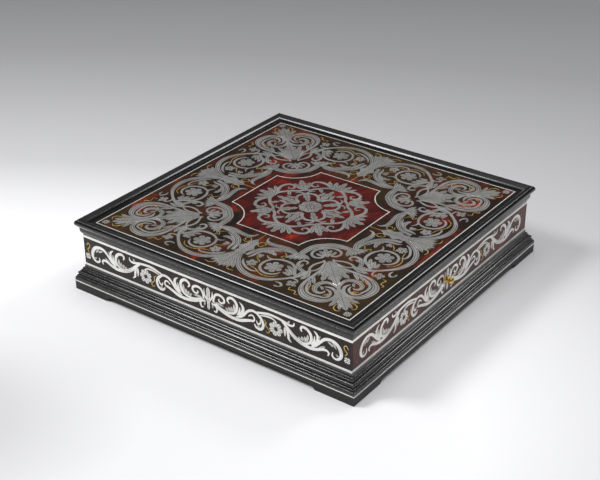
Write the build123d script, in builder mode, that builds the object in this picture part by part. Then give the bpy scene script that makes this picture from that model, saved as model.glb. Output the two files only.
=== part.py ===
import os

from build123d import *

# A square letter and writing box: a veneered case on bracket feet, a lid with a raised rim that is
# hinged along the back, and a drawer whose face is the whole right-hand frieze.
# X runs to the right along the front, Y to the back, Z up; the origin is on the floor under the centre.
# All sizes are in millimetres. "Out" is measured from the plane of the friezes, away from the case.

# the case, measured over the friezes
case_width = 350.0
case_depth = 350.0
wall_thickness = 9.0
veneer_thickness = 1.2

# heights of the layers, one above the other
plinth_height = 10.0
plinth_line_height = 1.1
base_moulding_height = 17.7
lower_band_height = 3.0
frieze_height = 31.6
upper_band_height = 2.8
lid_seam = 0.3
rim_height = 17.8

# the plinth boards, whose arched aprons leave a bracket foot at each corner
plinth_out = 9.3
plinth_board = 28.0
foot_length = 45.5
arch_height = 5.5
arch_run = 10.5
plinth_line_out = 9.5
plinth_line_depth = 3.2

# the pewter bands stand a little proud of the friezes
band_out = 0.2

# the base moulding: reeds on a slope, as (out, height above the plinth line, radius)
moulding_foot_height = 1.7
moulding_neck_out = 0.9
moulding_neck_height = 1.9
reeds = [
    (8.3, 3.1, 0.95),
    (6.9, 5.3, 0.95),
    (4.9, 8.5, 1.9),
    (3.1, 11.8, 0.95),
    (1.8, 13.9, 0.95),
]

# the lid's rim moulding, from the seam up over the nose and down to the panel
rim_seat = 6.0
rim_lip = 3.6
rim_lip_height = 3.5
rim_fillet_height = 0.9
rim_fillet_step = 0.3
swell_out = 2.3
swell_height = 6.3
soffit_out = 2.8
soffit_height = 8.5
nose_start_out = 5.4
nose_start_height = 11.7
nose_out = 6.0
nose_height = 14.3
crest_out = 3.2
crest_width = 1.6
slope_middle_in = 2.2
slope_middle_drop = 1.8
slope_foot_in = 4.4
slope_foot_height = 0.9
rim_bead_height = 0.4

# the lid's panel and what is laid on it
panel_drop = 5.2
border_width = 4.2
stringing_width = 1.2
cartouche_side = 155.0
cartouche_bite = 36.0

# inside the case
bottom_thickness = 6.0
partition_thickness = 6.0
dust_board_thickness = 4.0
cover_lid_gap = 1.3
cover_nosing = 2.0
cover_nosing_radius = 1.2

# the drawer
drawer_length = 110.0
drawer_gap = 0.3
drawer_mitre_gap = 0.5
drawer_side_gap = 0.6
drawer_top_gap = 1.2
drawer_rear_gap = 2.0
drawer_side_thickness = 5.0
drawer_rebate = 3.0
drawer_back_thickness = 5.0
drawer_back_drop = 2.0
drawer_bottom_thickness = 3.0
drawer_bottom_rise = 1.5
drawer_groove = 2.0
dovetail_pitch = 12.0
dovetail_narrow = 3.0
dovetail_wide = 5.4

# the turned knob
knob_shank_radius = 1.5
knob_plate_radius = 4.6
knob_plate_thickness = 0.9
knob_neck_radius = 1.9
knob_neck_length = 2.4
knob_head_radius = 3.9
knob_head_start = 3.5
knob_head_end = 5.7
knob_length = 7.3
knob_face_radius = 2.5
knob_nut_side = 7.0
knob_nut_thickness = 2.4
knob_shank_end = 0.8

# the two hinges
hinge_length = 46.0
hinge_spacing = 220.0
hinge_axis_out = 1.0
knuckle_radius = 2.0
knuckle_count = 5
knuckle_gap = 0.3
knuckle_room = 0.4
hinge_pin_radius = 1.0
hinge_pin_play = 0.05
leaf_thickness = 1.0
leaf_width = 7.7
screw_radius = 1.1
screw_head_radius = 2.0
screw_pitch = 15.0
screw_count = 3

# levels
plinth_line_top = plinth_height + plinth_line_height
base_top = plinth_line_top + base_moulding_height
frieze_bottom = base_top + lower_band_height
frieze_top = frieze_bottom + frieze_height
case_top = frieze_top + upper_band_height
lid_bottom = case_top + lid_seam
lid_top = lid_bottom + rim_height
panel_top = lid_top - panel_drop
core_top = panel_top - veneer_thickness
core_bottom = lid_bottom + rim_lip_height
dust_board_top = frieze_bottom - drawer_gap
cover_bottom = frieze_top + drawer_gap
cover_top = core_bottom - cover_lid_gap

# plan positions
wall_face = veneer_thickness
wall_back = veneer_thickness + wall_thickness
inner_right = case_width / 2 - wall_back
inner_back = case_depth / 2 - wall_back
drawer_rear = case_width / 2 - drawer_length
partition_right = drawer_rear - drawer_rear_gap
partition_left = partition_right - partition_thickness
hinge_y = case_depth / 2 + hinge_axis_out
hinge_z = case_top + lid_seam / 2
leaf_outer = hinge_y - knuckle_radius - knuckle_room
leaf_inner = leaf_outer - leaf_width
knob_z = (frieze_bottom + frieze_top) / 2

# each side is turned about Z from the front
sides = {"front": 0, "right": 90, "back": 180, "left": 270}
mitre_margin = 1.0
mitre_out = max(plinth_out, plinth_line_out, nose_out) + mitre_margin
mitre_in = max(plinth_board, rim_seat + border_width + stringing_width) + mitre_margin

os.makedirs("parts", exist_ok=True)


def length_of(side):
    return case_width if side in ("front", "back") else case_depth


def reach_of(side):
    return (case_depth if side in ("front", "back") else case_width) / 2


def outward(side):
    return Plane.XY.rotated((0, 0, sides[side])).y_dir * -1


def section_plane(side):
    # across one side: local x points out from the frieze, local y points up
    out = outward(side)
    return Plane(origin=out * reach_of(side), x_dir=out, z_dir=out.cross(Vector(0, 0, 1)))


def face_plane(side, out_by):
    # looking at one side from outside: local x runs along it, local y points up
    out = outward(side)
    return Plane(origin=out * (reach_of(side) + out_by), x_dir=Vector(0, 0, 1).cross(out), z_dir=out)


def half_run(side):
    # half the length of a strip that runs past both of its mitres
    return length_of(side) / 2 + mitre_out


def mitre_plan(side):
    # everything that belongs to one side, between the 45 degree mitres at its two corners
    half = length_of(side) / 2
    reach = reach_of(side)
    with BuildSketch(Plane.XY.rotated((0, 0, sides[side]))) as plan:
        Polygon(
            (-half - mitre_out, -reach - mitre_out),
            (half + mitre_out, -reach - mitre_out),
            (half - mitre_in, -reach + mitre_in),
            (-half + mitre_in, -reach + mitre_in),
            align=None,
        )
    return plan.sketch


def strip_section(inner, outer, low, high):
    # a plain rectangular section between two distances out and two levels
    with BuildSketch() as section:
        with Locations(((inner + outer) / 2, (low + high) / 2)):
            Rectangle(outer - inner, high - low)
    return section.sketch


def keep(piece, name):
    piece.part.label = name
    export_step(piece.part, f"parts/{name}.step")


# room for the hinges: a round groove about each knuckle line, and a pocket for each leaf
hinge_centres = [-hinge_spacing / 2, hinge_spacing / 2]
with BuildPart() as knuckle_grooves:
    with BuildSketch(*[Plane.YZ.offset(x) for x in hinge_centres]):
        with Locations((hinge_y, hinge_z)):
            Circle(knuckle_radius + knuckle_room)
    extrude(amount=hinge_length / 2, both=True)

def leaf_plates(low, outer):
    # the flat plates of both hinges, from one level up, reaching out as far as asked
    with BuildPart() as plates:
        with BuildSketch(Plane.XY.offset(low)):
            with Locations(*[(x, (leaf_inner + outer) / 2) for x in hinge_centres]):
                Rectangle(hinge_length, outer - leaf_inner)
        extrude(amount=leaf_thickness)
    return plates.part


# each leaf's pocket runs out to the pin, and so holds the roots of the knuckles too
case_leaf_low = case_top - leaf_thickness
case_leaf_pocket = leaf_plates(case_leaf_low, hinge_y)
lid_leaf_pocket = leaf_plates(lid_bottom, hinge_y)


# plinth boards with arched aprons
for side in sides:
    half = length_of(side) / 2 + plinth_out
    toe = half - foot_length
    spring = toe - arch_run
    with BuildPart() as plinth:
        with BuildSketch(face_plane(side, plinth_out)):
            with BuildLine():
                Polyline((toe, 0), (half, 0), (half, plinth_height))
                Polyline((half, plinth_height), (-half, plinth_height), (-half, 0), (-toe, 0))
                TangentArc((-spring, arch_height), (-toe, 0), tangent=(-1, 0))
                Line((-spring, arch_height), (spring, arch_height))
                TangentArc((spring, arch_height), (toe, 0), tangent=(1, 0))
            make_face()
        extrude(amount=-plinth_board)
        extrude(mitre_plan(side), amount=plinth_height, mode=Mode.INTERSECT)
    keep(plinth, f"plinth_{side}")


# strips with a constant section, mitred at the corners, on all four sides
plinth_line_section = strip_section(
    plinth_line_out - plinth_line_depth, plinth_line_out, plinth_height, plinth_line_top
)
lower_band_section = strip_section(-veneer_thickness, band_out, base_top, frieze_bottom)
upper_band_section = strip_section(-veneer_thickness, band_out, frieze_top, case_top)
border_outer = -rim_seat
border_inner = border_outer - border_width
field_edge = border_inner - stringing_width
border_section = strip_section(border_inner, border_outer, core_top, panel_top)
stringing_section = strip_section(field_edge, border_inner, core_top, panel_top)

# the base moulding: a slope with reeds along it, rebated over the plinth line
with BuildSketch() as base_moulding_section:
    Polygon(
        (-veneer_thickness, plinth_height),
        (plinth_line_out - plinth_line_depth, plinth_height),
        (plinth_line_out - plinth_line_depth, plinth_line_top),
        (plinth_out, plinth_line_top),
        (plinth_out, plinth_line_top + moulding_foot_height),
        (moulding_neck_out, base_top - moulding_neck_height),
        (moulding_neck_out, base_top),
        (-veneer_thickness, base_top),
        align=None,
    )
    for reed_out, reed_height, reed_radius in reeds:
        with Locations((reed_out, plinth_line_top + reed_height)):
            Circle(reed_radius)

# the lid's rim: fillet, swelling neck, soffit, round nose, crest, and the slope down to the panel
with BuildSketch() as rim_section:
    with BuildLine():
        seat_low = (-rim_seat, core_bottom)
        neck_top = (swell_out, lid_bottom + swell_height)
        nose_start = (nose_start_out, lid_bottom + nose_start_height)
        crest = (crest_out, lid_top)
        slope_top = (crest_out - crest_width, lid_top)
        slope_foot = (-slope_foot_in, panel_top + slope_foot_height)
        Polyline(
            seat_low,
            (-rim_seat - rim_lip, core_bottom),
            (-rim_seat - rim_lip, lid_bottom),
            (0, lid_bottom),
            (0, lid_bottom + rim_fillet_height),
            (rim_fillet_step, lid_bottom + rim_fillet_height),
        )
        TangentArc(neck_top, (rim_fillet_step, lid_bottom + rim_fillet_height), tangent=(0, -1))
        Polyline(
            neck_top,
            (swell_out, lid_bottom + soffit_height),
            (soffit_out, lid_bottom + soffit_height),
            nose_start,
        )
        ThreePointArc(nose_start, (nose_out, lid_bottom + nose_height), crest)
        Line(crest, slope_top)
        ThreePointArc(slope_top, (-slope_middle_in, lid_top - slope_middle_drop), slope_foot)
        Polyline(
            slope_foot,
            (-slope_foot_in, panel_top + rim_bead_height),
            (-rim_seat, panel_top + rim_bead_height),
            seat_low,
        )
    make_face()

strips = {
    "plinth_line": plinth_line_section,
    "base_moulding": base_moulding_section.sketch,
    "lower_band": lower_band_section,
    "upper_band": upper_band_section,
    "lid_rim": rim_section.sketch,
    "lid_border": border_section,
    "lid_stringing": stringing_section,
}
hinge_pockets = {"upper_band": case_leaf_pocket, "lid_rim": lid_leaf_pocket}
for strip_name, section in strips.items():
    for side in sides:
        with BuildPart() as strip:
            with BuildSketch(section_plane(side)):
                add(section)
            extrude(amount=half_run(side), both=True)
            extrude(mitre_plan(side), amount=lid_top, mode=Mode.INTERSECT)
            if side == "back" and strip_name in hinge_pockets:
                add(knuckle_grooves.part, mode=Mode.SUBTRACT)
                add(hinge_pockets[strip_name], mode=Mode.SUBTRACT)
        keep(strip, f"{strip_name}_{side}")


# walls: mitred boards behind the veneers; on the right only the rail below the drawer
walls = {
    "front_wall": ("front", case_top),
    "back_wall": ("back", case_top),
    "left_wall": ("left", case_top),
    "right_rail": ("right", dust_board_top),
}
for wall_name, (side, top) in walls.items():
    with BuildPart() as wall:
        with BuildSketch(section_plane(side)):
            add(strip_section(-wall_back, -wall_face, plinth_height, top))
        extrude(amount=half_run(side), both=True)
        extrude(mitre_plan(side), amount=lid_top, mode=Mode.INTERSECT)
        if side == "back":
            add(knuckle_grooves.part, mode=Mode.SUBTRACT)
            add(case_leaf_pocket, mode=Mode.SUBTRACT)
    keep(wall, wall_name)


# tortoiseshell friezes of the three fixed sides, between the corner strips
for side in ("front", "back", "left"):
    with BuildPart() as frieze:
        with BuildSketch(section_plane(side)):
            add(strip_section(-veneer_thickness, 0, frieze_bottom, frieze_top))
        extrude(amount=length_of(side) / 2 - veneer_thickness, both=True)
    keep(frieze, f"frieze_{side}")

# ebony strips that make the four upright corners
with BuildPart() as corner_strips:
    with BuildSketch(Plane.XY.offset(frieze_bottom)):
        with GridLocations(case_width - veneer_thickness, case_depth - veneer_thickness, 2, 2):
            Rectangle(veneer_thickness, veneer_thickness)
    extrude(amount=frieze_height)
keep(corner_strips, "corner_strips")


# boards inside the case
with BuildPart() as bottom_board:
    with BuildSketch(Plane.XY.offset(plinth_height)):
        Rectangle(2 * inner_right, 2 * inner_back)
    extrude(amount=bottom_thickness)
keep(bottom_board, "bottom_board")

with BuildPart() as partition:
    with BuildSketch(Plane.XY.offset(plinth_height + bottom_thickness)):
        with Locations(((partition_left + partition_right) / 2, 0)):
            Rectangle(partition_thickness, 2 * inner_back)
    extrude(amount=cover_bottom - plinth_height - bottom_thickness)
keep(partition, "partition")

with BuildPart() as dust_board:
    with BuildSketch(Plane.XY.offset(dust_board_top)):
        with Locations(((partition_right + inner_right) / 2, 0)):
            Rectangle(inner_right - partition_right, 2 * inner_back)
    extrude(amount=-dust_board_thickness)
keep(dust_board, "dust_board")

# the board over the drawer: its outer edge closes the wall above the drawer, its inner edge is rounded
cover_left = partition_left - cover_nosing
cover_right = case_width / 2 - veneer_thickness
with BuildPart() as cover_board:
    with BuildSketch(Plane.XY.offset(cover_bottom)):
        with Locations(((cover_left + inner_right) / 2, 0)):
            Rectangle(inner_right - cover_left, 2 * inner_back)
    extrude(amount=cover_top - cover_bottom)
    inner_edges = cover_board.edges().filter_by(Axis.Y).group_by(Axis.X)[0]
    fillet(inner_edges, radius=cover_nosing_radius)
    with BuildSketch(Plane.XY.offset(cover_bottom)):
        Polygon(
            (inner_right, -inner_back),
            (cover_right, -case_depth / 2 + wall_face),
            (cover_right, case_depth / 2 - wall_face),
            (inner_right, inner_back),
            align=None,
        )
    extrude(amount=case_top - cover_bottom)
keep(cover_board, "drawer_cover_board")


# lid panel
def hollow_square(edge_inset):
    # a square with a quarter round bitten out of each corner, drawn in from the cartouche's edge
    with BuildSketch() as outline:
        Rectangle(cartouche_side - 2 * edge_inset, cartouche_side - 2 * edge_inset)
        with GridLocations(cartouche_side, cartouche_side, 2, 2):
            Circle(cartouche_bite + edge_inset, mode=Mode.SUBTRACT)
    return outline.sketch


with BuildPart() as lid_core:
    with BuildSketch(Plane.XY.offset(core_bottom)):
        Rectangle(case_width + 2 * border_outer, case_depth + 2 * border_outer)
    extrude(amount=core_top - core_bottom)
keep(lid_core, "lid_core")

with BuildPart() as field_veneer:
    with BuildSketch(Plane.XY.offset(core_top)):
        Rectangle(case_width + 2 * field_edge, case_depth + 2 * field_edge)
        add(hollow_square(0), mode=Mode.SUBTRACT)
    extrude(amount=veneer_thickness)
keep(field_veneer, "lid_field_veneer")

with BuildPart() as cartouche_stringing:
    with BuildSketch(Plane.XY.offset(core_top)):
        add(hollow_square(0))
        add(hollow_square(stringing_width), mode=Mode.SUBTRACT)
    extrude(amount=veneer_thickness)
keep(cartouche_stringing, "cartouche_stringing")

with BuildPart() as cartouche_veneer:
    with BuildSketch(Plane.XY.offset(core_top)):
        add(hollow_square(stringing_width))
    extrude(amount=veneer_thickness)
keep(cartouche_veneer, "cartouche_veneer")


# hinges: leaves let into the wall and the rim, with alternate knuckles on one pin
knuckle_length = (hinge_length - knuckle_gap * (knuckle_count - 1)) / knuckle_count


def knuckle_planes(first):
    # the left end of every second knuckle on both hinges
    step = knuckle_length + knuckle_gap
    left_ends = [x - hinge_length / 2 for x in hinge_centres]
    every_second = range(first, knuckle_count, 2)
    return [Plane.YZ.offset(end + index * step) for end in left_ends for index in every_second]


screw_y = (leaf_inner + leaf_outer) / 2
first_screw = -screw_pitch * (screw_count - 1) / 2
screw_steps = [first_screw + index * screw_pitch for index in range(screw_count)]
screw_places = [(x + step, screw_y) for x in hinge_centres for step in screw_steps]
# each leaf as (underside, open face, first knuckle, bore, which way the open face looks)
leaves = {
    "hinge_case_leaves": (case_leaf_low, case_top, 0, hinge_pin_radius, 1),
    "hinge_lid_leaves": (lid_bottom, lid_bottom, 1, hinge_pin_radius + hinge_pin_play, -1),
}
for leaf_name, (plate_low, open_face, first_knuckle, bore, face_up) in leaves.items():
    with BuildPart() as leaf:
        add(leaf_plates(plate_low, leaf_outer))
        with BuildSketch(*knuckle_planes(first_knuckle)):
            with Locations((hinge_y, hinge_z)):
                Circle(knuckle_radius)
            with Locations(((leaf_outer + hinge_y) / 2, plate_low + leaf_thickness / 2)):
                Rectangle(hinge_y - leaf_outer, leaf_thickness)
        extrude(amount=knuckle_length)
        with BuildSketch(*[Plane.YZ.offset(x) for x in hinge_centres]):
            with Locations((hinge_y, hinge_z)):
                Circle(bore)
        extrude(amount=hinge_length / 2, both=True, mode=Mode.SUBTRACT)
        with Locations(*[Plane(origin=(x, y, open_face), z_dir=(0, 0, face_up)) for x, y in screw_places]):
            CounterSinkHole(screw_radius, counter_sink_radius=screw_head_radius, counter_sink_angle=90)
    keep(leaf, leaf_name)

with BuildPart() as hinge_pins:
    with BuildSketch(*[Plane.YZ.offset(x) for x in hinge_centres]):
        with Locations((hinge_y, hinge_z)):
            Circle(hinge_pin_radius)
    extrude(amount=hinge_length / 2, both=True)
keep(hinge_pins, "hinge_pins")


# drawer
front_outer = case_width / 2 - veneer_thickness
front_inner = front_outer - wall_thickness
front_half_outer = case_depth / 2 - wall_face - drawer_mitre_gap
front_half_inner = front_half_outer - wall_thickness
side_outer = inner_back - drawer_side_gap
side_inner = side_outer - drawer_side_thickness
side_top = cover_bottom - drawer_top_gap
front_low = frieze_bottom + drawer_gap
front_height = frieze_height - 2 * drawer_gap
drawer_bottom_low = frieze_bottom + drawer_bottom_rise
drawer_bottom_high = drawer_bottom_low + drawer_bottom_thickness
back_top = side_top - drawer_back_drop
side_front_end = front_inner + drawer_rebate
knob_axis = Plane(origin=(case_width / 2, 0, knob_z), x_dir=(0, 1, 0), z_dir=(1, 0, 0))

# front board: mitred into the corners, rebated for the sides, grooved for the bottom, bored for the knob
with BuildPart() as drawer_front:
    with BuildSketch(Plane.XY.offset(front_low)):
        Polygon(
            (front_inner, -front_half_inner),
            (front_outer, -front_half_outer),
            (front_outer, front_half_outer),
            (front_inner, front_half_inner),
            align=None,
        )
    extrude(amount=front_height)
    rebate_width = front_half_outer - side_inner
    with BuildSketch(Plane.XY.offset(front_low)):
        with GridLocations(0, 2 * side_inner + rebate_width, 1, 2):
            with Locations((front_inner + drawer_rebate / 2, 0)):
                Rectangle(drawer_rebate, rebate_width)
    extrude(amount=front_height, mode=Mode.SUBTRACT)
    with BuildSketch(Plane.XZ):
        with Locations((front_inner + drawer_groove / 2, (drawer_bottom_low + drawer_bottom_high) / 2)):
            Rectangle(drawer_groove, drawer_bottom_thickness)
    extrude(amount=side_inner, both=True, mode=Mode.SUBTRACT)
    with Locations(knob_axis):
        Hole(radius=knob_shank_radius)
keep(drawer_front, "drawer_front")

with BuildPart() as drawer_veneer:
    veneer_half = case_depth / 2 - veneer_thickness - drawer_gap
    with BuildSketch(Plane.XY.offset(front_low)):
        with Locations((case_width / 2 - veneer_thickness / 2, 0)):
            Rectangle(veneer_thickness, 2 * veneer_half)
    extrude(amount=front_height)
    with Locations(knob_axis):
        Hole(radius=knob_shank_radius)
keep(drawer_veneer, "drawer_veneer")

# the back's pins, narrow at the outer face, which lock between the tails of the sides
dovetail_middle = (drawer_bottom_high + back_top) / 2
back_inner = drawer_rear + drawer_back_thickness
with BuildSketch(Plane.XZ) as dovetail_pins:
    for pin_z in (dovetail_middle - dovetail_pitch / 2, dovetail_middle + dovetail_pitch / 2):
        Polygon(
            (drawer_rear, pin_z - dovetail_narrow / 2),
            (back_inner, pin_z - dovetail_wide / 2),
            (back_inner, pin_z + dovetail_wide / 2),
            (drawer_rear, pin_z + dovetail_narrow / 2),
            align=None,
        )

for side_name, hand in {"drawer_side_front": -1, "drawer_side_back": 1}.items():
    side_middle = hand * (side_inner + side_outer) / 2
    groove_middle = hand * (side_inner + drawer_groove / 2)
    with BuildPart() as drawer_side:
        with BuildSketch(Plane.XY.offset(frieze_bottom)):
            with Locations(((drawer_rear + side_front_end) / 2, side_middle)):
                Rectangle(side_front_end - drawer_rear, drawer_side_thickness)
        extrude(amount=side_top - frieze_bottom)
        with BuildSketch(Plane.XY.offset(drawer_bottom_low)):
            with Locations(((drawer_rear + side_front_end) / 2, groove_middle)):
                Rectangle(side_front_end - drawer_rear, drawer_groove)
        extrude(amount=drawer_bottom_thickness, mode=Mode.SUBTRACT)
        extrude(dovetail_pins.sketch, amount=side_outer, both=True, mode=Mode.SUBTRACT)
    keep(drawer_side, side_name)

with BuildPart() as drawer_back:
    with BuildSketch(Plane.XY.offset(drawer_bottom_high)):
        with Locations((drawer_rear + drawer_back_thickness / 2, 0)):
            Rectangle(drawer_back_thickness, 2 * side_inner)
    extrude(amount=back_top - drawer_bottom_high)
    extrude(dovetail_pins.sketch, amount=side_outer, both=True)
keep(drawer_back, "drawer_back")

with BuildPart() as drawer_bottom:
    with BuildSketch(Plane.XY.offset(drawer_bottom_low)):
        with Locations(((drawer_rear + front_inner + drawer_groove) / 2, 0)):
            Rectangle(front_inner + drawer_groove - drawer_rear, 2 * (side_inner + drawer_groove))
    extrude(amount=drawer_bottom_thickness)
keep(drawer_bottom, "drawer_bottom")

# the knob: a turned plate, neck and bevelled head on a shank that passes through the drawer front
shank_end = -(veneer_thickness + wall_thickness + knob_nut_thickness + knob_shank_end)
with BuildPart() as knob:
    with BuildSketch(Plane(origin=(case_width / 2, 0, knob_z), x_dir=(1, 0, 0), z_dir=(0, -1, 0))):
        with BuildLine():
            Polyline(
                (shank_end, 0),
                (shank_end, knob_shank_radius),
                (0, knob_shank_radius),
                (0, knob_plate_radius),
                (knob_plate_thickness, knob_plate_radius),
                (knob_plate_thickness, knob_neck_radius),
                (knob_neck_length, knob_neck_radius),
                (knob_head_start, knob_head_radius),
                (knob_head_end, knob_head_radius),
                (knob_length, knob_face_radius),
                (knob_length, 0),
                close=True,
            )
        make_face()
    revolve(axis=Axis((case_width / 2, 0, knob_z), (1, 0, 0)))
keep(knob, "drawer_knob")

with BuildPart() as knob_nut:
    with BuildSketch(Plane.YZ.offset(front_inner)):
        with Locations((0, knob_z)):
            Rectangle(knob_nut_side, knob_nut_side)
            Circle(knob_shank_radius, mode=Mode.SUBTRACT)
    extrude(amount=-knob_nut_thickness)
keep(knob_nut, "drawer_knob_nut")
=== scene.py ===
import math

import bpy
from mathutils import Matrix, Vector


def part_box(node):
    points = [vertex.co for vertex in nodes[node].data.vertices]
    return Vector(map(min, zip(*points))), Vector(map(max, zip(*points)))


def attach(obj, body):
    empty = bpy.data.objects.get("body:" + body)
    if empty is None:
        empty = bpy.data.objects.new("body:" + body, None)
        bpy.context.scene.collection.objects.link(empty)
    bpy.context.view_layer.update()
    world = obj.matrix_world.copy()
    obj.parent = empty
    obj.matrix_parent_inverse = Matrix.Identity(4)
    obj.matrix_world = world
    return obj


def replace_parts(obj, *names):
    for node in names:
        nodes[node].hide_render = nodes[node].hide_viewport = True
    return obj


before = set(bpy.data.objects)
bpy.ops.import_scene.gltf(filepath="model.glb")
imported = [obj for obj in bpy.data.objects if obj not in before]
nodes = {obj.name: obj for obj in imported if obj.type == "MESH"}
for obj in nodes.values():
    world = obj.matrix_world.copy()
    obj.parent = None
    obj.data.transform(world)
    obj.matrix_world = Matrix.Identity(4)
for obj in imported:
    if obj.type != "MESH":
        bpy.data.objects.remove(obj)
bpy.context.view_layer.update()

mm = 0.001
sceneCollection = bpy.context.scene.collection


camera = {
    "azimuth": 36.53,  # degrees from the front towards the drawer side
    "elevation": 28.99,
    "roll": -0.31,
    "distance": 1.3778,
    "target": (-0.0174, 0.0041, 0.0300),
    "lens": 73.45,
    "sensor": 36.0,
    "nearest": 0.05, "farthest": 50,
}


def makeCamera():
    azimuth, elevation, roll = (
        math.radians(camera[name]) for name in ("azimuth", "elevation", "roll")
    )
    back = Vector((
        math.sin(azimuth) * math.cos(elevation),
        -math.cos(azimuth) * math.cos(elevation),
        math.sin(elevation),
    ))
    level = Vector((math.cos(azimuth), math.sin(azimuth), 0))
    rise = back.cross(level)
    right = level * math.cos(roll) + rise * math.sin(roll)
    up = back.cross(right)
    turn = Matrix((right, up, back)).transposed().to_4x4()
    place = Vector(camera["target"]) + back * camera["distance"]
    data = bpy.data.cameras.new("viewCamera")
    data.lens = camera["lens"]
    data.sensor_width = camera["sensor"]
    data.clip_start = camera["nearest"]
    data.clip_end = camera["farthest"]
    holder = bpy.data.objects.new("viewCamera", data)
    sceneCollection.objects.link(holder)
    holder.matrix_world = Matrix.Translation(place) @ turn
    bpy.context.scene.camera = holder


makeCamera()
print("camera placed")


def hexColour(text):
    # an sRGB hex value as the linear colour that a socket wants
    channels = [int(text[at:at + 2], 16) / 255 for at in (1, 3, 5)]
    return [c / 12.92 if c <= 0.04045 else ((c + 0.055) / 1.055) ** 2.4 for c in channels] + [1.0]


def addNode(tree, kind, inputs=None, stops=None, **settings):
    # an input takes a value, an output socket, or a node, which gives its first output;
    # stops are a colour ramp's, as (position, hex colour)
    node = tree.nodes.new(kind)
    for name, value in settings.items():
        setattr(node, name, value)
    for socket, value in (inputs or {}).items():
        if isinstance(value, bpy.types.Node):
            value = value.outputs[0]
        if isinstance(value, bpy.types.NodeSocket):
            tree.links.new(value, node.inputs[socket])
        else:
            node.inputs[socket].default_value = value
    for index, (position, colour) in enumerate(stops or []):
        elements = node.color_ramp.elements
        element = elements[index] if index < 2 else elements.new(position)  # a new ramp has two
        element.position = position
        element.color = hexColour(colour)
    return node


def startMaterial(name, inputs):
    material = bpy.data.materials.new(name)
    material.use_nodes = True
    tree = material.node_tree
    tree.nodes.clear()
    shader = addNode(tree, "ShaderNodeBsdfPrincipled", inputs)
    addNode(tree, "ShaderNodeOutputMaterial", {"Surface": shader})
    place = addNode(tree, "ShaderNodeTexCoord").outputs["Object"]
    return material, tree, shader, place


# polished shell over red pigment: dark brown clouds on a red that glows where the shell is clear;
# patch and streak are the mottling's two sizes in mm
tortoiseshellLooks = {
    "field": {
        "patch": 38.46, "streak": 10.53, "stretch": (1.0, 0.45, 1.0), "turn": 38,
        "stops": [
            (0.36, "#0d0907"), (0.46, "#21110b"), (0.55, "#42170c"),
            (0.63, "#7d1f0e"), (0.72, "#c0461a"),
        ],
        "edge": "#33280f",
    },
    "cartouche": {
        "patch": 33.33, "streak": 9.09, "stretch": (1.0, 0.5, 1.0), "turn": -52,
        "stops": [
            (0.33, "#120605"), (0.44, "#330b07"), (0.54, "#561109"),
            (0.63, "#7a1d0b"), (0.74, "#c9480f"),
        ],
        "edge": "#430e09",
    },
    "frieze": {
        "patch": 62.5, "streak": 14.29, "stretch": (1.0, 1.0, 0.5), "turn": 24,
        "stops": [
            (0.32, "#0e0b08"), (0.48, "#1d1610"), (0.60, "#2c1a12"),
            (0.70, "#4c1c14"), (0.82, "#7d2c18"),
        ],
        "edge": "#1c1710",
    },
    "drawer": {
        "patch": 62.5, "streak": 14.29, "stretch": (1.0, 1.0, 0.5), "turn": 24,
        "stops": [
            (0.32, "#130d0a"), (0.46, "#3a1a12"), (0.57, "#5e2117"),
            (0.68, "#7c2a1b"), (0.80, "#a83c1e"),
        ],
        "edge": "#40190f",
    },
}
streakShare = 0.34  # how much of the mottling is fine streaks; the rest is patches
thickPlace = 111.1  # mm, a hand wide: there the shell is thicker and browner


def makeTortoiseshell(name):
    look = tortoiseshellLooks[name]
    material, tree, shader, place = startMaterial("polishedTortoiseshell_" + name, {
        "Roughness": 0.3, "IOR": 1.54, "Specular IOR Level": 0.3,
    })
    drawnOut = addNode(tree, "ShaderNodeMapping", {
        "Vector": place, "Scale": look["stretch"], "Rotation": (0, 0, math.radians(look["turn"])),
    })
    patches = addNode(tree, "ShaderNodeTexNoise", {
        "Vector": drawnOut, "Scale": 1 / (look["patch"] * mm),
        "Detail": 3.0, "Roughness": 0.5, "Distortion": 1.2,
    })
    streaks = addNode(tree, "ShaderNodeTexNoise", {
        "Vector": drawnOut, "Scale": 1 / (look["streak"] * mm),
        "Detail": 5.0, "Roughness": 0.65, "Distortion": 0.8,
    })
    cloud = addNode(tree, "ShaderNodeMix", {"Factor": streakShare, "A": patches, "B": streaks})
    shell = addNode(tree, "ShaderNodeValToRGB", {"Fac": cloud}, look["stops"])
    broad = addNode(tree, "ShaderNodeTexNoise", {
        "Vector": place, "Scale": 1 / (thickPlace * mm), "Detail": 2.0, "Roughness": 0.5,
    })
    thick = addNode(tree, "ShaderNodeMapRange", {
        "Value": broad, "From Min": 0.42, "From Max": 0.68, "To Max": 0.7,
    })
    # a colour mix has its share in socket 0, its two colours in 6 and 7, and the blend in output 2
    blend = addNode(tree, "ShaderNodeMix", {0: thick, 6: shell, 7: hexColour(look["edge"])},
                    data_type="RGBA")
    gloss = addNode(tree, "ShaderNodeMapRange", {"Value": streaks, "To Min": 0.18, "To Max": 0.34})
    tree.links.new(blend.outputs[2], shader.inputs["Base Color"])
    tree.links.new(gloss.outputs[0], shader.inputs["Roughness"])
    return material


# pear wood stained black; film is the polish's IOR, and a harder film has a stronger shine
ebonyLooks = {
    "moulding": {
        "name": "ebonisedPearMoulding", "light": "#121211", "dark": "#060606",
        "roughness": 0.26, "polish": 0.8, "film": 1.44,
    },
    "reed": {
        "name": "ebonisedPearReed", "light": "#121211", "dark": "#060606",
        "roughness": 0.26, "polish": 0.8, "film": 1.7,
    },
    "plinth": {
        "name": "ebonisedPearPlinth", "light": "#1d1c19", "dark": "#0f0e0c",
        "roughness": 0.5, "polish": 0.0, "film": 1.44,
    },
}

ebonyPore = 1.111  # mm along the grain's width
ebonyCloud = 35.7


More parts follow.
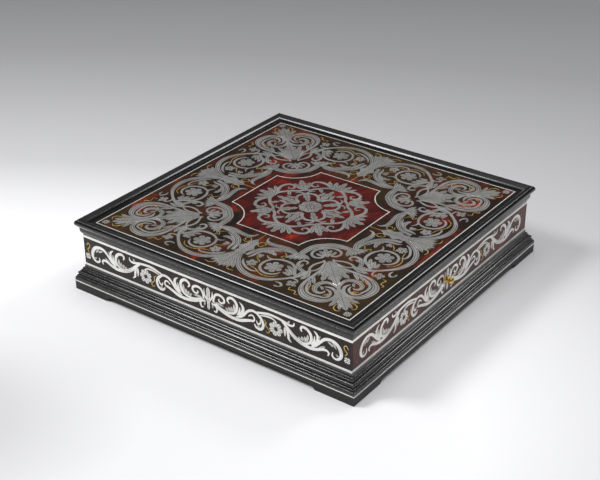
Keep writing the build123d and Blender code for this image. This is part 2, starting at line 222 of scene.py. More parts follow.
def makeEbonised(look, grain, ending):
    # the clear film over a dull ground gives thin bright lines on black
    polish, roughness = look["polish"], look["roughness"]
    material, tree, shader, place = startMaterial(look["name"] + ending, {
        "Roughness": roughness, "IOR": 1.5, "Specular IOR Level": 0.5 - 0.4 * polish,
        "Coat Weight": polish, "Coat Roughness": 0.12, "Coat IOR": look["film"],
    })
    alongGrain = addNode(tree, "ShaderNodeMapping", {"Vector": place, "Scale": grain})
    pores = addNode(tree, "ShaderNodeTexNoise", {
        "Vector": alongGrain, "Scale": 1 / (ebonyPore * mm), "Detail": 3.0, "Roughness": 0.6,
    })
    clouds = addNode(tree, "ShaderNodeTexNoise", {
        "Vector": place, "Scale": 1 / (ebonyCloud * mm), "Detail": 4.0, "Roughness": 0.6,
    })
    cloudy = addNode(tree, "ShaderNodeMapRange", {
        "Value": clouds, "From Min": 0.35, "From Max": 0.7,
    })
    stain = addNode(tree, "ShaderNodeMix", {
        0: cloudy, 6: hexColour(look["dark"]), 7: hexColour(look["light"]),
    }, data_type="RGBA")
    gloss = addNode(tree, "ShaderNodeMapRange", {
        "Value": clouds, "To Min": roughness - 0.05, "To Max": roughness + 0.08,
    })
    bump = addNode(tree, "ShaderNodeBump", {
        "Height": pores, "Strength": 0.06 * (1 - polish), "Distance": 0.1 * mm,
    })
    tree.links.new(stain.outputs[2], shader.inputs["Base Color"])
    tree.links.new(gloss.outputs[0], shader.inputs["Roughness"])
    tree.links.new(bump.outputs[0], shader.inputs["Normal"])
    return material


pewterLooks = {
    "pewter": {"name": "scrapedPewter", "roughness": 0.34, "engraved": False},
    "engravedPewter": {"name": "engravedPewter", "roughness": 0.34, "engraved": True},
    # the thin lines are duller, so that they gather light from all round
    "stringing": {"name": "softPewterLine", "roughness": 0.55, "engraved": False},
}
pewterTones = {
    "bright": "#faf9f4", "dull": "#e9e7e0", "tarnish": "#b4b1a7",
    "cutLine": "#1d1a17",  # engraver's lines filled with black
}
pewterCloud = 16.67  # mm
pewterScratch = 1.111  # mm, far coarser than real ones, so that they show at all


def makePewter(look):
    # cast sheet scraped flat: soft grey shine with cloudy tarnish and fine scratches every way
    roughness = look["roughness"]
    material, tree, shader, place = startMaterial(look["name"], {
        "Metallic": 1.0, "Roughness": roughness,
    })
    clouds = addNode(tree, "ShaderNodeTexNoise", {
        "Vector": place, "Scale": 1 / (pewterCloud * mm), "Detail": 4.0, "Roughness": 0.6,
    })
    fine = addNode(tree, "ShaderNodeTexNoise", {
        "Vector": place, "Scale": 1 / (pewterScratch * mm), "Detail": 3.0, "Roughness": 0.7,
    })
    scraped = addNode(tree, "ShaderNodeValToRGB", {"Fac": clouds}, [
        (0.3, pewterTones["dull"]), (0.62, pewterTones["bright"]),
    ])
    scratched = addNode(tree, "ShaderNodeMapRange", {
        "Value": fine, "From Min": 0.56, "From Max": 0.78, "To Max": 0.5,
    })
    metal = addNode(tree, "ShaderNodeMix", {
        0: scratched, 6: scraped, 7: hexColour(pewterTones["tarnish"]),
    }, data_type="RGBA")
    gloss = addNode(tree, "ShaderNodeMapRange", {
        "Value": clouds, "To Min": roughness - 0.05, "To Max": roughness + 0.07,
    })
    if look["engraved"]:
        lines = engravedLines(tree)
        metal = addNode(tree, "ShaderNodeMix", {
            0: lines, 6: metal.outputs[2], 7: hexColour(pewterTones["cutLine"]),
        }, data_type="RGBA")
        gloss = addNode(tree, "ShaderNodeMath", {0: lines, 1: 0.3, 2: gloss},
                        operation="MULTIPLY_ADD")
    tree.links.new(metal.outputs[2], shader.inputs["Base Color"])
    tree.links.new(gloss.outputs[0], shader.inputs["Roughness"])
    return material


engraving = {
    "lineWidth": 0.62,  # mm, about three times the real cut, so that it still shows at a step away
    "softness": 0.3,  # how far a line's edge fades, as a share of half its width
    "fadeIn": 0.4,  # mm of width over which the lines come in as a stroke widens
    "bandFrom": 4.2,  # mm, the width from which a band has a line along each side
    "bandLineAt": 0.46,  # where that line lies, from the middle to the edge
    "bandDepth": 0.92,
    "veinFrom": 4.4,  # mm, the width from which a leaf has side veins
    "veinPitch": 3.0,  # mm between them
    "veinSlant": 1.4,
    "veinEdge": (0.06, 0.14),  # where a vein begins to fade and where it ends, in pitches
    "leafDepth": 0.8,
}


def engravedLines(tree):
    # a wide band has a line along each side, and a leaf has a midrib and slanting side veins
    across, half, run, leafy = (
        addNode(tree, "ShaderNodeAttribute", attribute_name=name).outputs["Fac"]
        for name in ("across", "halfWidth", "run", "leafy")
    )
    reach, softness = engraving["lineWidth"] / 2, engraving["softness"]
    fadeIn = engraving["fadeIn"]
    cut = {"From Min": reach * (1 - softness), "From Max": reach * (1 + softness), "To Max": 0.0}
    fromMiddle = addNode(tree, "ShaderNodeMath", {0: across}, operation="ABSOLUTE")
    fromMiddle = addNode(tree, "ShaderNodeMath", {0: fromMiddle, 1: half}, operation="MULTIPLY")
    wideBand, wideLeaf = (
        addNode(tree, "ShaderNodeMapRange", {
            "Value": half, "From Min": (width - fadeIn) / 2, "From Max": (width + fadeIn) / 2,
        })
        for width in (engraving["bandFrom"], engraving["veinFrom"])
    )

    lineAt = addNode(tree, "ShaderNodeMath", {0: half, 1: engraving["bandLineAt"]},
                     operation="MULTIPLY")
    gap = addNode(tree, "ShaderNodeMath", {0: fromMiddle, 1: lineAt}, operation="SUBTRACT")
    gap = addNode(tree, "ShaderNodeMath", {0: gap}, operation="ABSOLUTE")
    bandLine = addNode(tree, "ShaderNodeMapRange", {
        "Value": gap, "To Min": engraving["bandDepth"], **cut,
    })
    bandLine = addNode(tree, "ShaderNodeMath", {0: bandLine, 1: wideBand}, operation="MULTIPLY")

    midrib = addNode(tree, "ShaderNodeMapRange", {
        "Value": fromMiddle, "To Min": engraving["leafDepth"], **cut,
    })
    lean = addNode(tree, "ShaderNodeMath", {0: fromMiddle, 1: engraving["veinSlant"]},
                   operation="MULTIPLY")
    slant = addNode(tree, "ShaderNodeMath", {0: run, 1: lean}, operation="SUBTRACT")
    pitches = addNode(tree, "ShaderNodeMath", {0: slant, 1: engraving["veinPitch"]},
                      operation="DIVIDE")
    phase = addNode(tree, "ShaderNodeMath", {0: pitches}, operation="FRACT")
    gap = addNode(tree, "ShaderNodeMath", {0: phase, 1: 0.5}, operation="SUBTRACT")
    gap = addNode(tree, "ShaderNodeMath", {0: gap}, operation="ABSOLUTE")
    vein = addNode(tree, "ShaderNodeMapRange", {
        "Value": gap, "To Min": engraving["leafDepth"], "To Max": 0.0,
        "From Min": engraving["veinEdge"][0], "From Max": engraving["veinEdge"][1],
    })
    vein = addNode(tree, "ShaderNodeMath", {0: vein, 1: wideLeaf}, operation="MULTIPLY")
    leafLine = addNode(tree, "ShaderNodeMath", {0: midrib, 1: vein}, operation="MAXIMUM")
    return addNode(tree, "ShaderNodeMix", {"Factor": leafy, "A": bandLine, "B": leafLine})


brassCloud = 3.846  # mm
brassLooks = {
    "brass": {"name": "lacqueredBrass", "brown": "#b98d3c", "gold": "#f2cf7a", "roughness": 0.2},
    "hinge": {"name": "rubbedBrass", "brown": "#6f5428", "gold": "#a3803f", "roughness": 0.4},
    "brassLine": {"name": "scrapedBrass", "brown": "#c9a350", "gold": "#f3d68c", "roughness": 0.42},
}


def makeBrass(look):
    # cast and rubbed by hand: clouds of a browner tone, which are also duller
    roughness = look["roughness"]
    material, tree, shader, place = startMaterial(look["name"], {
        "Metallic": 1.0, "Roughness": roughness,
    })
    clouds = addNode(tree, "ShaderNodeTexNoise", {
        "Vector": place, "Scale": 1 / (brassCloud * mm), "Detail": 4.0, "Roughness": 0.6,
    })
    metal = addNode(tree, "ShaderNodeValToRGB", {"Fac": clouds}, [
        (0.35, look["brown"]), (0.6, look["gold"]),
    ])
    gloss = addNode(tree, "ShaderNodeMapRange", {
        "Value": clouds, "To Min": roughness - 0.05, "To Max": roughness + 0.15,
    })
    tree.links.new(metal.outputs[0], shader.inputs["Base Color"])
    tree.links.new(gloss.outputs[0], shader.inputs["Roughness"])
    return material


woodLooks = {
    "oak": {
        "name": "waxedOak", "ring": 8.33, "pore": 0.926, "roughness": 0.6,  # mm, across the grain
        "stops": [(0.3, "#4a3320"), (0.5, "#6e4d2e"), (0.7, "#8c6740")],
    },
    "walnut": {
        "name": "waxedWalnut", "ring": 9.09, "pore": 1.01, "roughness": 0.55,
        "stops": [(0.3, "#3a2416"), (0.5, "#5b3a23"), (0.7, "#7a5234")],
    },
}


def makeBareWood(look, grain, ending):
    # planed and waxed board: a dull shine, with dark rings and pores drawn out along the grain
    material, tree, shader, place = startMaterial(look["name"] + ending, {
        "Roughness": look["roughness"], "IOR": 1.5,
    })
    alongGrain = addNode(tree, "ShaderNodeMapping", {"Vector": place, "Scale": grain})
    figure = addNode(tree, "ShaderNodeTexNoise", {
        "Vector": alongGrain, "Scale": 1 / (look["ring"] * mm),
        "Detail": 5.0, "Roughness": 0.6, "Distortion": 0.6,
    })
    pores = addNode(tree, "ShaderNodeTexNoise", {
        "Vector": alongGrain, "Scale": 1 / (look["pore"] * mm), "Detail": 3.0, "Roughness": 0.7,
    })
    board = addNode(tree, "ShaderNodeValToRGB", {"Fac": figure}, look["stops"])
    poreShare = addNode(tree, "ShaderNodeMapRange", {
        "Value": pores, "From Min": 0.55, "From Max": 0.75, "To Max": 0.55,
    })
    board = addNode(tree, "ShaderNodeMix", {
        0: poreShare, 6: board, 7: hexColour(look["stops"][0][1]),
    }, data_type="RGBA")
    bump = addNode(tree, "ShaderNodeBump", {
        "Height": pores, "Strength": 0.25, "Distance": 0.15 * mm,
    })
    tree.links.new(board.outputs[2], shader.inputs["Base Color"])
    tree.links.new(bump.outputs[0], shader.inputs["Normal"])
    return material


grains = {"X": (0.06, 1.0, 1.0), "Y": (1.0, 0.06, 1.0)}  # each draws a pattern out along one axis
finishes = {name: makeTortoiseshell(name) for name in tortoiseshellLooks}
for name, look in pewterLooks.items():
    finishes[name] = makePewter(look)
for name, look in brassLooks.items():
    finishes[name] = makeBrass(look)
for axis, grain in grains.items():
    for name, look in ebonyLooks.items():
        finishes[name + axis] = makeEbonised(look, grain, "_" + axis.lower())
    for name, look in woodLooks.items():
        finishes[name + axis] = makeBareWood(look, grain, "_" + axis.lower())

finishRules = [
    # (how a node's name starts, its finish), and the first that fits holds; with a + at its end,
    # the grain runs along the side that the node is on
    ("plinth_line", "pewter"), ("lower_band", "pewter"), ("upper_band", "pewter"),
    ("lid_stringing", "stringing"), ("cartouche_stringing", "stringing"),
    ("plinth", "plinth+"), ("corner_strips", "plinthX"), ("base_moulding", "reed+"),
    ("lid_rim", "moulding+"), ("lid_border", "moulding+"),
    ("frieze", "frieze"), ("drawer_veneer", "drawer"),
    ("lid_field_veneer", "field"), ("cartouche_veneer", "cartouche"),
    ("hinge", "hinge"), ("drawer_knob", "brass"),
    ("drawer_side", "walnutX"), ("drawer_back", "walnutY"), ("drawer_bottom", "walnutY"),
    ("left_wall", "oakY"), ("right_rail", "oakY"), ("partition", "oakY"),
    ("drawer_front", "oakY"), ("drawer_cover_board", "oakY"),
    ("", "oakX"),
]


def finishOf(node):
    finish = next(finish for start, finish in finishRules if node.startswith(start))
    return finishes[finish.replace("+", "Y" if node.endswith(("left", "right")) else "X")]


for name, node in nodes.items():
    node.data.materials.clear()
    node.data.materials.append(finishOf(name))
print("finishes given to", len(nodes), "frame nodes")


# the marquetry is drawn flat, in millimetres, as strokes whose width changes along them

def band(points, widths, kind="band"):
    # the widths are spread evenly over the points
    last = len(points) - 1
    halves = []
    for index in range(len(points)):
        at = index / last * (len(widths) - 1)
        low = min(int(at), len(widths) - 2)
        halves.append((widths[low] * (low + 1 - at) + widths[low + 1] * (at - low)) / 2)
    return {"kind": kind, "points": points, "halves": halves}


# half a leaf's width along it, both as shares
bladeShape = [(0.0, 0.3), (0.2, 0.72), (0.45, 1.0), (0.68, 0.88), (0.87, 0.5), (1.0, 0.08)]
petalShape = [(0.0, 0.3), (0.3, 0.7), (0.6, 1.0), (0.82, 0.9), (0.95, 0.55), (1.0, 0.15)]
dotShape = [(0.0, 0.3), (0.15, 0.7), (0.5, 1.0), (0.85, 0.7), (1.0, 0.3)]
scallop = {"depth": 0.2, "steps": 4}  # how deep a lobe cuts into a leaf, and the points on each


def leaf(root, tip, width, bend=0.0, lobes=0, shape=bladeShape):
    # bend pushes the leaf's middle to its left; lobes scallop its edge
    along = Vector(tip) - Vector(root)
    aside = Vector((-along.y, along.x)).normalized() * bend
    steps = max(len(shape) - 1, lobes * scallop["steps"])
    points, halves = [], []
    for index in range(steps + 1):
        t = index / steps
        after = next(k for k in range(1, len(shape)) if t <= shape[k][0] + 1e-9)
        (t0, w0), (t1, w1) = shape[after - 1], shape[after]
        half = width / 2 * (w0 + (w1 - w0) * (t - t0) / (t1 - t0))
        if lobes:
            half *= 1 - scallop["depth"] * math.cos(2 * math.pi * lobes * t)
        spot = Vector(root) + along * t + aside * math.sin(math.pi * t)
        points.append((spot.x, spot.y))
        halves.append(half)
    return {"kind": "leaf", "points": points, "halves": halves}


def boss(centre, radius):
    # a small round dot
    x, y = centre
    return leaf((x - radius, y), (x + radius, y), 2 * radius, shape=dotShape)


def rosette(centre, radius, petals, turn=0.0, fullness=0.8, eye=0.3):
    # petals about an open eye; the eye's size is a share of the radius
    width = fullness * 2 * radius * math.sin(math.pi / petals)
    strokes = []
    for index in range(petals):
        angle = math.radians(turn) + index * 2 * math.pi / petals
        way = Vector((math.cos(angle), math.sin(angle)))
        root, tip = Vector(centre) + way * radius * eye, Vector(centre) + way * radius
        strokes.append(leaf(root, tip, width, shape=petalShape))
    return strokes


def fan(root, tips, width, bend=0.0):
    return [leaf(root, tip, width, bend) for tip in tips]


# the lid, from its centre: u to one side, v towards the edge; this wedge between v and the diagonal
# is repeated eight times, and what lies on v or on the diagonal four times
lidWedge = [
    # corner scroll: a strand runs down from the root, round the corner and back up
    band([(80, 87), (85.5, 92), (88.8, 101), (89.3, 112), (89.2, 124), (89.8, 134), (92.5, 143),
          (98, 150), (105, 154), (113, 154.4), (121, 152.6), (127, 148), (129.3, 141),
          (128.3, 134.5), (124, 129.6), (117, 126.8), (110.5, 128.8)],
         (2.2, 2.6, 3.2, 3.4, 3.2, 3.6, 4.6, 6.2, 7.4, 7.4, 6.6, 5.2, 4, 3.8, 3.6, 3.2, 1)),
    band([(92.8, 129), (94.3, 134.5), (97.8, 141.5), (103, 146.6), (110, 148), (116.5, 146.6),
          (121.4, 145.6), (124.2, 141.5), (122.8, 136.3), (119, 132.6), (113.5, 131.4)],
         (1, 2.4, 2.9, 2.9, 2.7, 2.4, 2.4, 2.8, 2.8, 2.6, 0.8)),
    band([(129.6, 129.4), (126, 125), (120, 122), (113, 120.3), (107, 121.5), (103.3, 126),
          (102.9, 133), (105.4, 138.6), (109.8, 141.4), (114, 140.4), (115.8, 137), (114.6, 134.6)],
         (2.6, 3.2, 3.4, 3.8, 4.8, 5.4, 5.6, 5, 4.2, 3.2, 2.2, 0.8)),
    leaf((106, 130.5), (112.5, 135), 3.2, -1),
    leaf((91, 119), (99.8, 130.6), 4.2, 0.8),
    leaf((91.4, 126), (98.3, 135.4), 3.2, 0.8),
    # the great scroll beside it, which runs down from the root and turns back along the edge
    band([(80, 115), (80.2, 121), (77.2, 129), (72, 136.4), (65.5, 143.4), (57.5, 149.8),
          (47.5, 153.6), (37, 154.4), (27, 152.2), (18, 147), (11, 140), (6.4, 133), (4, 127)],
         (3, 4, 3.8, 3.2, 3.4, 4.4, 5.4, 5.8, 5.8, 5.6, 5.4, 5.2, 4.6)),
    band([(11.6, 131.6), (15.4, 137.4), (21.6, 142.2), (29, 145.4), (36, 145.2), (38.2, 141.6)],
         (1, 2.6, 2.8, 2.6, 2, 0.6)),
    leaf((80.4, 112), (82.6, 131.6), 5.4, -2.4, 3),
    leaf((76.4, 117), (73.8, 132), 4.4, -1.4, 2),
    # the ring and the flower in it
    band([(27.5, 112.4), (32, 116), (37, 115.6), (43, 112.2), (50.5, 110.6), (58.5, 111.6),
          (65, 116), (69.5, 122.5), (73.6, 128)], (0.5, 2, 2.2, 2.8, 3.2, 3.2, 3.4, 3.4, 3.6)),
    band([(37, 116), (33.8, 121.5), (33, 128), (35, 134.6), (40, 139.8), (47, 141.8), (53, 140.4),
          (57.2, 136.6), (58.8, 132)], (2, 2.8, 3, 3, 2.9, 2.8, 2.6, 2.2, 0.8)),
    *rosette((47.2, 127.4), 10.2, 6, 10, 0.62, 0.16),
    boss((47.2, 127.4), 2.2),
    leaf((71.5, 128), (56.2, 117.2), 5.4, 1.6, 3),
    leaf((71, 130), (58.6, 123.6), 4.6, 0.8, 2),
    leaf((70.5, 132), (60, 130), 4, 0.4, 2),
    # the eye at the root and the curl beside it
    band([(82, 88), (79.4, 94), (77.3, 100), (77.5, 107), (80.2, 112.6), (80.4, 117)],
         (2, 2.4, 2.6, 2.6, 3, 3.6)),
    band([(83.6, 90.4), (85.2, 96), (86, 102.4), (84.8, 108.4), (81.4, 113)],
         (1.4, 2, 2.2, 2.2, 2)),
    band([(79.6, 117.6), (72.5, 116), (66.6, 112.4), (63, 107), (63, 101.6), (66.6, 99),
          (70.2, 100.6), (70.6, 104.2)], (4, 4.6, 4.6, 3.6, 2.9, 2.6, 2.2, 1)),
    leaf((68.4, 113.4), (67, 105), 3.4, 0.6),
    # the scroll that springs from the middle of the side, in two strands
    band([(46, 93.4), (37, 93.8), (28, 96.6), (20, 101.2), (14, 107.8), (10.9, 116), (9.4, 124)],
         (3, 4.4, 5, 5, 4.8, 4.4, 3.8)),
    band([(36, 98), (27, 101.6), (20, 107.6), (16.2, 114.6), (15.4, 121.5), (13.4, 126.8)],
         (0.6, 2.2, 3, 3.2, 2.8, 1)),
    leaf((18.6, 109.6), (35.8, 108.4), 5.6, -3.6, 3),
    leaf((18.2, 115.4), (24.6, 121.6), 3.6, -1, 2),
    leaf((21, 114.6), (25.6, 117), 2.6, -0.6),
    *rosette((23.8, 133.4), 6.4, 5, 20, 0.62, 0.1),
    # strap along the cartouche, with a fan of leaves at its joint
    band([(7.2, 82.4), (8.6, 87.6), (13, 91), (20, 91.6), (30, 89.8), (38, 88.8), (45, 90.8),
          (52, 95.6)], (0.6, 2.4, 4.6, 5.4, 5.4, 5.2, 5.6, 6)),
    *fan((52, 90), [
        (44.6, 106.4), (49.8, 106), (55, 104), (59.8, 101.4), (64.2, 98.4), (68, 94.6),
    ], 4.6, -0.5),
    # shell in the niche
    band([(67, 66.6), (62, 73), (61.2, 80), (64, 85.6), (69.2, 87.6), (73.8, 85.8), (75.8, 82.2),
          (74, 79.6)], (4, 3.2, 3, 2.9, 2.8, 2.7, 2.4, 1)),
    leaf((78, 79), (65.2, 74.8), 4.4, 0.8, 2),
    leaf((77, 80), (65.4, 80.4), 3.6, -0.8, 2),
    # small sprays by the edge
    *rosette((80.6, 143), 5.6, 4, 25, 0.58, 0.08),
    band([(72, 137.4), (76.4, 134.4), (82, 135.2), (84.6, 138.4)], (0.6, 1.8, 2, 1)),
    leaf((82.6, 141), (88, 145.4), 2.8, 1),
    band([(65.6, 149.4), (71, 148.8), (75.2, 152.2), (73.2, 156)], (0.8, 2.2, 2.4, 0.8)),
    leaf((68, 155.8), (74.6, 154.8), 2.2, 0.5),
    # corner palmette, the leaves beside the middle one
    leaf((131.6, 132.6), (134.4, 156), 5.6, -1.6, 3),
    leaf((132.4, 133), (146, 155.4), 5.6, -0.6, 3),
    # the great spray, the leaf beside the middle one
    leaf((86, 90), (102, 121.8), 9, -2, 4),
    leaf((84.6, 89.6), (93.4, 117), 3.4, -1.6),
    # the bell at the middle of the side
    leaf((1.6, 135), (4.6, 156.4), 4.6, -0.4, 2),
    leaf((3, 136), (9.8, 154.6), 4.6, 0.8, 2),
    leaf((5, 137), (15, 153), 4.2, 0.8, 2),
]
lidOnAxis = [
    band([(0, 79), (0, 95)], (0.7, 0.7), "brass"),
    leaf((0, 131), (0, 92.5), 15.6, 0, 3),
    leaf((0, 121), (0, 158), 9.5, 0, 4),
]
lidOnDiagonal = [
    band([(53.5, 97), (53.6, 88), (54.2, 79), (56.9, 69.7), (62.9, 62.9), (69.7, 56.9), (79, 54.2),
          (88, 53.6), (97, 53.5)], (4.5, 6.6, 7.4, 7.8, 8, 7.8, 7.4, 6.6, 4.5)),
    leaf((80, 80), (66, 66), 5),
    leaf((86, 86), (119.6, 119.6), 14.6, 0, 5),
    leaf((130, 130), (152.6, 152.6), 9.6, 0, 4),
    boss((130.4, 130.4), 2.4),
    *rosette((157, 157), 4.2, 4, 45, 0.7, 0.1),
]
lidTendrils = [
    band([(84, 149), (85, 153.6), (89, 152.6), (93, 152.8), (94.6, 157), (98, 156.6)],
         (0.6, 1, 1, 1, 1, 0.6), "brass"),
    band([(101, 131), (98.6, 138), (102, 143)], (0.6, 1.1, 0.6), "brass"),
    band([(118.4, 144), (119.4, 140.4), (121.8, 138.6), (122, 141.6), (120, 142.4)],
         (0.5, 0.9, 1, 0.9, 0.5), "brass"),
    band([(139, 146), (138.6, 152), (141, 157), (145.4, 158.4), (148.4, 155.8)],
         (0.6, 1.1, 1.2, 1.1, 0.6), "brass"),
    band([(13.4, 101), (8.6, 103), (5.4, 98.4), (8, 94), (12, 94.6), (13, 98.4), (10, 99.6)],
         (0.6, 1, 1, 1, 1, 0.9, 0.6), "brass"),
    band([(19, 119), (24, 124), (28.6, 126.6), (28, 130)], (0.6, 1, 1, 0.6), "brass"),
    band([(26, 139.4), (34, 141), (45, 146.4), (56, 145), (61, 138.6)],
         (0.6, 1, 1.1, 1, 0.6), "brass"),
    band([(38, 97.4), (44, 101.6), (41, 107), (46, 108.6)], (0.6, 1, 1, 0.6), "brass"),
    band([(5.6, 150), (8.6, 155), (13, 157.6), (18.4, 156.8)], (0.6, 1, 1, 0.6), "brass"),
]

# the middle of the lid: straps and leaves about a flower
cartoucheWedge = [
    band([(2, 17), (6, 23.5), (13.5, 27), (20.5, 24), (20.8, 17.5), (15.5, 15.5), (14, 19.5)],
         (3.6, 3.6, 3.4, 3.2, 2.8, 2.2, 1)),
    band([(0, 50.5), (9, 49), (18.5, 41), (24, 33), (30, 30)], (3.6, 3.8, 3.6, 3.4, 3.2)),
    band([(5, 49.5), (13, 54), (22.5, 56.5), (31, 52.5), (31.5, 45), (25.5, 42), (22.5, 46.5),
          (26, 48.5)], (3.2, 3.8, 3.8, 3.6, 3.2, 2.6, 1.8, 0.8)),
    leaf((1, 51), (10, 67), 5.6, -1.5, 2),
    leaf((2, 51), (19, 64), 5.2, -2, 2),
    leaf((30, 31), (36.5, 48.5), 5.6, 1.5, 2),
    leaf((18, 41), (9.6, 34.6), 4.6, -1.2),
    leaf((9, 24.5), (7, 38), 4.4, 1.4),
    band([(22, 23), (22, 30), (17, 33.5)], (2.4, 2.2, 0.8)),
]
cartoucheOnAxis = [
    leaf((0, 15), (0, 46), 7.5, 0, 4),
    leaf((0, 50), (0, 71), 7.6, 0, 3),
    boss((0, 50.5), 2.6),
]
cartoucheOnDiagonal = [
    leaf((9.6, 9.6), (25, 25), 7, 0, 3),
    leaf((29, 29), (47.6, 47.6), 8.5, 0, 4),
    boss((29.5, 29.5), 2.6),
]
cartoucheFlower = [
    *rosette((0, 0), 13.4, 8, 22.5, 0.86, 0.36),
    *rosette((0, 0), 4.4, 6, 0, 0.9, 0.2),
]

# a frieze, from its middle: s along it, h above its centre line; mirrored about s = 0
friezeHalf = [
    band([(7, -2.8), (15, -6.6), (24, -9.3), (33, -10.3), (41, -9.5), (48, -7), (53.5, -5),
          (57.6, -4), (59, -1.2), (57.4, 1.6), (54.4, 1.6), (51.4, -0.8)],
         (3, 4, 4.3, 4.3, 4.2, 3.8, 3.4, 2.8, 2.2, 2.2, 2, 0.9)),
    band([(27.2, 4.9), (25, 8), (26.8, 11.2), (31, 12.2), (35, 9.9), (37, 5.4), (36.2, 0.4),
          (33.2, -3.8), (28, -6), (21.6, -6.2), (15, -4.4), (9, -1.6)],
         (1.2, 2.8, 3.3, 3.7, 3.8, 3.8, 3.7, 3.4, 3, 2.8, 2.6, 2.4)),
    leaf((32, -3.4), (33, 7), 3.2, -0.8),
    leaf((30.6, -4.2), (29.4, 2.6), 3),
    leaf((28.4, -4.8), (25.8, 1), 3),
    leaf((25.6, -5), (22.2, -0.6), 2.6),
    band([(6.4, -1.4), (7.2, 4.4), (9.6, 8.7), (14, 10.2), (19, 8.7), (20.9, 5.2), (19.2, 2.4),
          (16, 1.9), (13.6, 3.6), (14.4, 5.8)], (2.8, 2.9, 3.1, 3.3, 3.3, 3, 2.6, 2.4, 2, 1)),
    leaf((8, -0.6), (20.6, -1.6), 2.6, 0.5),
    band([(4, -3.4), (8.8, -4.4), (11, -8), (9.4, -11.6), (6.6, -11)], (2.8, 2.6, 2.7, 2.4, 1)),
    leaf((4.4, -4), (5.4, -9.4), 2.2, 0.3),
    band([(64, 6.2), (58, 7.5), (53, 6.3), (49, 2.9), (45.4, -1.6), (41, -5.4), (35.4, -7.4)],
         (3, 3.3, 3.3, 3.2, 3.2, 2.8, 1.6)),
    band([(38.6, -5), (42.6, -0.8), (45, 4.4), (43.8, 8.7), (40.2, 11.4)], (1.4, 3.8, 4.1, 3, 0.6)),
    band([(36.8, -5), (39.8, -0.2), (40.8, 5.6)], (1, 2.8, 0.7)),
    band([(62.6, 6), (66.8, 2.8), (69.8, -2.6), (68.8, -8.2), (65, -10.9), (60.8, -9.8),
          (58.9, -6.8)], (2.8, 3.8, 3.9, 3.7, 3.4, 2.8, 1.2)),
    band([(66.8, 0.2), (66, -4), (63, -5.2), (61.6, -1.8)], (1, 2.2, 2.3, 0.8)),
    leaf((66, -9), (62, -7.4), 2.2),
    band([(61, 7.3), (68, 9), (76, 10.8), (84, 11), (93, 10), (98, 8.9), (103, 7.9), (107, 9.2),
          (107.8, 12.6)], (2.2, 3, 3.3, 3.1, 3, 3, 2.9, 2.4, 1)),
    leaf((99.4, 9.4), (102.6, 13), 2.4, -0.3),
    band([(66, 5.4), (72.6, 7.2), (78.6, 7.8), (83.4, 6.9), (87, 4.6)], (1, 2, 2.2, 1.8, 0.6)),
    *rosette((85.5, -2.8), 8.4, 7, 0, 0.8, 0.26),
    band([(92, 10), (97, 6.2), (101, 2.4), (106, -1.9), (113, -5.7), (120, -7.8), (128, -8.5),
          (135, -7), (141, -4.6), (146, -4), (148.6, -6.4), (147.4, -9.4)],
         (2.2, 3.8, 4.4, 4.8, 5, 4.6, 4.2, 3.8, 3.4, 3, 2.6, 1.2)),
    leaf((136.6, -4.2), (144.8, -0.2), 2.6, -0.4),
    band([(98.6, 3.2), (100.5, -3.4), (101.2, -8.2), (104.4, -11.2)], (2.6, 3.4, 2.8, 0.8)),
    band([(96.4, 3.2), (96.4, -2), (96.8, -6.8)], (2.2, 2.9, 0.7)),
    band([(117, 6.2), (115.6, 9.2), (118, 12), (123, 11.2), (127, 7.4), (128.2, 2.4), (126.6, -2.4),
          (122.4, -5.4), (117, -5.6)], (1.2, 2.8, 3.4, 3.8, 3.9, 3.8, 3.4, 2.6, 1.2)),
    leaf((122, -4), (124, 6), 3.2, -0.6),
    leaf((120.4, -4.4), (120.4, 2.4), 3),
    leaf((118, -4.6), (116.6, 1.2), 3),
    leaf((115.4, -4.6), (112.8, -0.6), 2.6),
    band([(128.8, -5), (133.2, -1.4), (136, 4.4), (134.6, 9.6), (131, 12.6)],
         (1.4, 4, 4.2, 3, 0.6)),
    band([(127.8, -4.4), (131.4, 1), (132, 7.2)], (1, 2.8, 0.7)),
    leaf((136.6, 5), (138.8, 9.8), 1.8),
    band([(128, -6.6), (133.6, -3), (139, 3.2), (144, 7.9), (151, 9.6), (158, 7.4), (162.2, 1.6),
          (162.8, -4.2), (160.2, -8.2), (156.2, -9.4), (152.8, -7.2), (153, -3)],
         (1.6, 3, 3.5, 3.8, 4, 4.4, 4.8, 4.2, 3.2, 2.8, 2.5, 1)),
    leaf((147, 6.4), (154, 2.6), 2.4, 0.5),
    leaf((152, 7.4), (157.6, 1.2), 2.4, 0.6),
    leaf((160.6, -6), (156.6, -3.6), 2, 0.4),
    band([(2.4, -0.6), (5, 4.4), (5.4, 10.8)], (1.8, 2.3, 0.7)),
]
friezeOnAxis = [
    leaf((0, -3), (0, 15.2), 6.4, 0, 2),
    leaf((0, -1), (0, -12.6), 4.2, 0, 2),
    boss((0, -1.4), 2.8),
]
friezeTendrils = [
    band([(70.6, 2.8), (73.4, 0.6), (73, -3.4), (76.4, -6.6), (77.4, -9.4), (75, -11.4),
          (73.6, -9.4)], (0.6, 1, 1, 1, 1, 0.8, 0.6), "brass"),
]
friezeEnds = [
    band([(171, 6.6), (168.8, 9.9), (166.2, 8.6), (166.6, 5.4), (169.6, 2), (167.2, -1.4)],
         (0.6, 1, 1, 1, 1, 0.6), "brass"),
    *rosette((169.8, -6), 3.8, 4, 40, 0.7, 0.1),
]


def startTree(name, inputs):
    tree = bpy.data.node_groups.new(name, "GeometryNodeTree")
    sockets = tree.interface
    sockets.new_socket("Geometry", in_out="INPUT", socket_type="NodeSocketGeometry")
    for label, (kind, value) in inputs.items():
        socket = sockets.new_socket(label, in_out="INPUT", socket_type="NodeSocket" + kind)
        if value is not None:
            socket.default_value = value
    sockets.new_socket("Geometry", in_out="OUTPUT", socket_type="NodeSocketGeometry")
    return tree, addNode(tree, "NodeGroupInput").outputs


